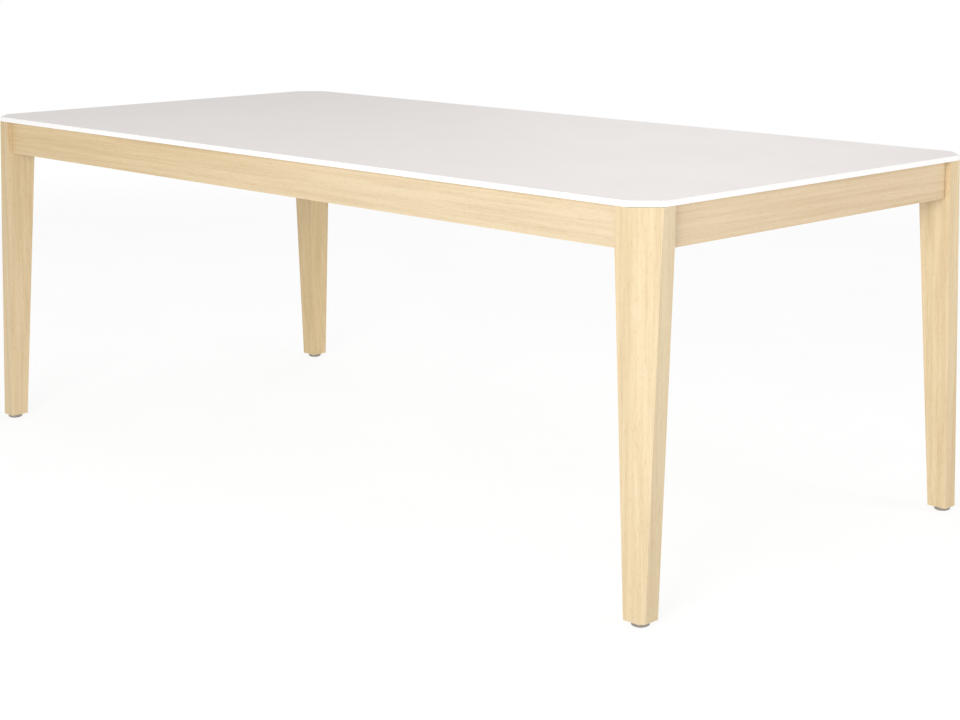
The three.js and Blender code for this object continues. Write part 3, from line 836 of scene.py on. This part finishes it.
# The lengths of their stretches: the tip, the thread's turns, the plain core and the taper to the neck.
SCREW_TIP = 2.5 * MM
SCREW_PITCH = 1.8 * MM
SCREW_ROWS_PER_TURN = 6
SCREW_PLAIN = 1.0 * MM
SCREW_NECK_TAPER = 0.9 * MM
# The driving recess: its lobes and its radii from the mouth down.
LOBES = 6
LOBE_DEPTH = 0.13
RECESS_MOUTH = 1.95 * MM
RECESS_SHOULDER = 1.75 * MM
RECESS_FLOOR = 1.65 * MM
RECESS_SHOULDER_DEPTH = 0.2 * MM
DOME_STEPS = 5


def six_lobes(size):
    """The radius of a six-lobed driving recess at each angle."""
    return lambda angle: size * (1 + LOBE_DEPTH * math.cos(LOBES * angle))


def screw_shank_rings(length, neck):
    """A wood screw from its point up to its neck, which starts at the height `neck`, under the head."""
    core_end = neck - SCREW_NECK_TAPER
    thread_end = core_end - SCREW_PLAIN
    thread = thread_rings(
        -length + SCREW_TIP, thread_end, SCREW_PITCH, SCREW_CORE, SCREW_CREST, SCREW_ROWS_PER_TURN
    )
    return [(SCREW_POINT, -length)] + thread + [(SCREW_CORE, core_end), (SCREW_NECK, neck)]


def recess_rings(top, depth):
    """A six-lobed recess with a chamfered mouth, from the head's top down."""
    return [
        (six_lobes(RECESS_MOUTH), top),
        (six_lobes(RECESS_SHOULDER), top - RECESS_SHOULDER_DEPTH),
        (six_lobes(RECESS_FLOOR), top - depth),
    ]


def pan_screw_rings(length):
    """A wood screw whose domed head stands on z = 0."""
    neck = -0.6 * MM
    lower_edge = (SCREW_HEAD, 0.25 * MM)
    lower_edge_ease = 0.2 * MM
    rim = 0.8 * MM
    top = 2.4 * MM
    recess_depth = 1.5 * MM
    dome = arc((RECESS_MOUTH, rim), SCREW_HEAD - RECESS_MOUTH, 0, 90, DOME_STEPS, rise=top - rim)
    head = [(SCREW_NECK, 0.0), (SCREW_HEAD - lower_edge_ease, 0.0), lower_edge, *dome[:-1]]
    return screw_shank_rings(length, neck) + head + recess_rings(top, recess_depth)


def countersunk_screw_rings(length):
    """A wood screw whose flat head lies just below z = 0."""
    neck = -2.9 * MM
    cone_end = (3.85 * MM, -0.55 * MM)
    rim = (3.9 * MM, -0.3 * MM)
    face = 3.7 * MM
    top = -0.15 * MM
    recess_depth = 1.35 * MM
    head = [cone_end, rim, (face, top)]
    return screw_shank_rings(length, neck) + head + recess_rings(top, recess_depth)


def add_screws(name, rings, places, material):
    """One piece that holds every screw of a kind."""
    mesh = bmesh.new()
    for place in places:
        add_turned(mesh, rings, THREAD_SIDES, place)
    add_piece(name, mesh, material, "zinc_hardware", FIXED_BODY)


CLIP_THICKNESS = 2 * MM
CLIP_SCREW_LENGTH = 9.5 * MM
CLIP_SCREW_FROM_END = 11 * MM
BRACE_THICKNESS = 3 * MM
BRACE_SCREW_LENGTH = 16 * MM
BRACE_SCREW_FROM_END = 14 * MM
BRACE_SCREW_RISE = 15 * MM
RAIL_SCREW_LENGTH = 35 * MM
RAIL_SCREW_SPACING = 300 * MM


def clip_screw_places():
    """Under the free end of each clip, which points to the middle of the table."""
    places = []
    for name in TOP_CLIPS:
        low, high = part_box(name)
        middle = (low + high) / 2
        axis = 0 if high.x - low.x > high.y - low.y else 1
        towards_middle = -1 if middle[axis] > 0 else 1
        end = high[axis] if towards_middle > 0 else low[axis]
        spot = Vector((middle.x, middle.y, high.z - CLIP_THICKNESS))
        spot[axis] = end - towards_middle * CLIP_SCREW_FROM_END
        places.append(pointing(DOWN, spot))
    return places


def brace_screw_places():
    """On both flanges of each brace, two screws one above the other."""
    places = []
    for corner, sides in CORNERS.items():
        low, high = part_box(f"corner_brace_{corner}")
        height = (low.z + high.z) / 2
        for flange_axis in (0, 1):
            face_axis = 1 - flange_axis
            for rise in (-BRACE_SCREW_RISE, BRACE_SCREW_RISE):
                spot = UP * (height + rise)
                inner_end = low if sides[flange_axis] > 0 else high
                outer_face = high if sides[face_axis] > 0 else low
                spot[flange_axis] = inner_end[flange_axis] + sides[flange_axis] * BRACE_SCREW_FROM_END
                spot[face_axis] = outer_face[face_axis] - sides[face_axis] * BRACE_THICKNESS
                inward = Vector()
                inward[face_axis] = -sides[face_axis]
                places.append(pointing(inward, spot))
    return places


def rail_screw_places():
    """Under each cross rail, at its middle and towards both ends."""
    places = []
    for name in CROSS_RAILS:
        middle = middle_of(name)
        for y in (-RAIL_SCREW_SPACING, 0, RAIL_SCREW_SPACING):
            spot = Vector((middle.x, middle.y + y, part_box(name)[0].z))
            places.append(pointing(DOWN, spot))
    return places


# ---------------------------------------------------------------- glides

# The stem: the radii of its two ends, and how far from them its full radius and its thread start.
STEM_LOW_CHAMFER = 2.9 * MM
STEM_HIGH_CHAMFER = 2.6 * MM
STEM_CHAMFER_LENGTH = 0.5 * MM
STEM_THREAD_FROM_END = 0.7 * MM
# The base: its rounded edges, the radii of the pad's recess and the stem's socket, and their depths.
BASE_SIDES = 96
BASE_LOWER_EDGE = 2.2 * MM
BASE_UPPER_EDGE = 0.9 * MM
LOWER_EDGE_STEPS = 8
UPPER_EDGE_STEPS = 5
PAD_RECESS = 14.3 * MM
PAD_RECESS_TOP = 2.8 * MM  # its height above the floor
PAD_RECESS_FLARE = (0.05 * MM, 0.2 * MM)  # its width and its height
SOCKET = 4.3 * MM
SOCKET_FLOOR = 4.0 * MM  # its height above the floor
SOCKET_MOUTH = 0.5 * MM
SOCKET_MOUTH_END = 0.6 * MM  # below the base's top
STEP_DEPTH = 0.15 * MM  # of the turned step round the socket
STEP_INNER = 1.4 * MM
STEP_OUTER = 1.6 * MM


def stem_rings(low, high):
    """A threaded rod with a chamfer at both ends."""
    start = [(STEM_LOW_CHAMFER, low), (M8_ROOT, low + STEM_CHAMFER_LENGTH)]
    end = [(M8_ROOT, high - STEM_CHAMFER_LENGTH), (STEM_HIGH_CHAMFER, high)]
    thread_low = low + STEM_THREAD_FROM_END
    thread_high = high - STEM_THREAD_FROM_END
    return start + thread_rings(thread_low, thread_high, M8_PITCH, M8_ROOT, M8_CREST) + end


def glide_base_rings(radius, low, high):
    """A turned cup: a recess for the pad below, a rounded lower edge, and a socket for the stem above."""
    lower_centre = (radius - BASE_LOWER_EDGE, low + BASE_LOWER_EDGE)
    upper_centre = (radius - BASE_UPPER_EDGE, high - BASE_UPPER_EDGE)
    lower = arc(lower_centre, BASE_LOWER_EDGE, -85, 0, LOWER_EDGE_STEPS)
    upper = arc(upper_centre, BASE_UPPER_EDGE, 0, 90, UPPER_EDGE_STEPS)
    flare_width, flare_height = PAD_RECESS_FLARE
    return [
        (PAD_RECESS, PAD_RECESS_TOP),
        (PAD_RECESS, low + flare_height),
        (PAD_RECESS + flare_width, low),
        *lower[1:],  # its first point would leave a sliver beside the flat ring
        *upper,
        (SOCKET + STEP_OUTER, high),
        (SOCKET + STEP_INNER, high - STEP_DEPTH),
        (SOCKET + SOCKET_MOUTH, high - STEP_DEPTH),
        (SOCKET, high - SOCKET_MOUTH_END),
        (SOCKET, SOCKET_FLOOR),
    ]


def add_glide(corner, zinc, nickel, nylon):
    stem_name = f"glide_stem_{corner}"
    base_name = f"glide_base_{corner}"
    stem_low, stem_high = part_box(stem_name)
    middle = (stem_low + stem_high) / 2
    axis = Matrix.Translation((middle.x, middle.y, 0))

    stem = bmesh.new()
    add_turned(stem, stem_rings(stem_low.z, stem_high.z), THREAD_SIDES, axis)
    add_piece(f"threaded_{stem_name}", stem, zinc, "zinc_hardware", f"stem_{corner}", stem_name)

    base_low, base_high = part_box(base_name)
    radius = (base_high.x - base_low.x) / 2
    base = bmesh.new()
    add_turned(base, glide_base_rings(radius, base_low.z, base_high.z), BASE_SIDES, axis)
    add_piece(f"turned_{base_name}", base, nickel, "glide_metal", f"foot_{corner}", base_name)

    finish_node(f"glide_pad_{corner}", nylon)
    finish_node(f"threaded_insert_{corner}", zinc)


# ---------------------------------------------------------------- the scene


def add_floor():
    mesh = bmesh.new()
    bmesh.ops.create_circle(mesh, cap_ends=True, segments=FLOOR_SIDES, radius=FLOOR_RADIUS)
    data = bpy.data.meshes.new("floor")
    mesh.to_mesh(data)
    mesh.free()
    data.materials.append(studio_floor())
    floor = bpy.data.objects.new("floor", data)
    bpy.context.scene.collection.objects.link(floor)


add_camera()
add_soft_boxes()
set_sky()
add_floor()

zinc = plated_steel("zinc_hardware", ZINC, roughness_range=(0.26, 0.42), crystals_to_a_metre=900.0)
pressed = plated_steel(
    "pressed_steel", PRESSED_STEEL, roughness_range=(0.32, 0.50), crystals_to_a_metre=260.0
)
nylon = moulded_nylon()
nickel = turned_nickel(middle_of("glide_base_back_right"))

finish_node("table_top", white_top())
finish_boards()
for clip in TOP_CLIPS:
    finish_node(clip, pressed, CLIP_EASE)
for corner in CORNERS:
    finish_node(f"corner_brace_{corner}", pressed, BRACE_EASE)
    add_corner_fasteners(corner, zinc)
    add_glide(corner, zinc, nickel, nylon)
add_screws("clip_screws", pan_screw_rings(CLIP_SCREW_LENGTH), clip_screw_places(), zinc)
add_screws("brace_screws", pan_screw_rings(BRACE_SCREW_LENGTH), brace_screw_places(), zinc)
add_screws("rail_screws", countersunk_screw_rings(RAIL_SCREW_LENGTH), rail_screw_places(), zinc)
